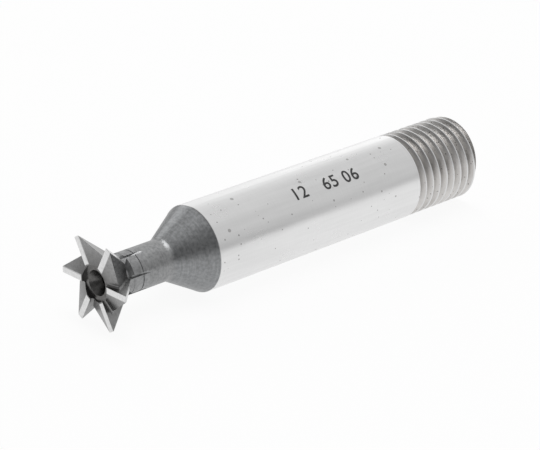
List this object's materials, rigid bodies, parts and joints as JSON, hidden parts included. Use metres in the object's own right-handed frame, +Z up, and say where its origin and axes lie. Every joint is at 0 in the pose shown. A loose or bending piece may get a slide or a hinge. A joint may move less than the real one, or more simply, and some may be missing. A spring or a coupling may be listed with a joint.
{
  "type": "dovetail milling cutter",
  "caption": "One-piece dovetail milling cutter: angled toothed head, thin neck, cone, plain round shank and screwed rear end.",
  "frame": {"origin": "on the tool's axis, at the middle of the plain shank", "axes": "+X along the axis from the cutting end to the screwed end, +Z up as the tool lies on a flat surface"},
  "size_m": [0.0646, 0.013, 0.012],
  "materials": {
    "tool_steel": "ground and turned steel"
  },
  "bodies": {
    "root": {"dovetail_cutter": "tool_steel"}
  },
  "joints": []
}
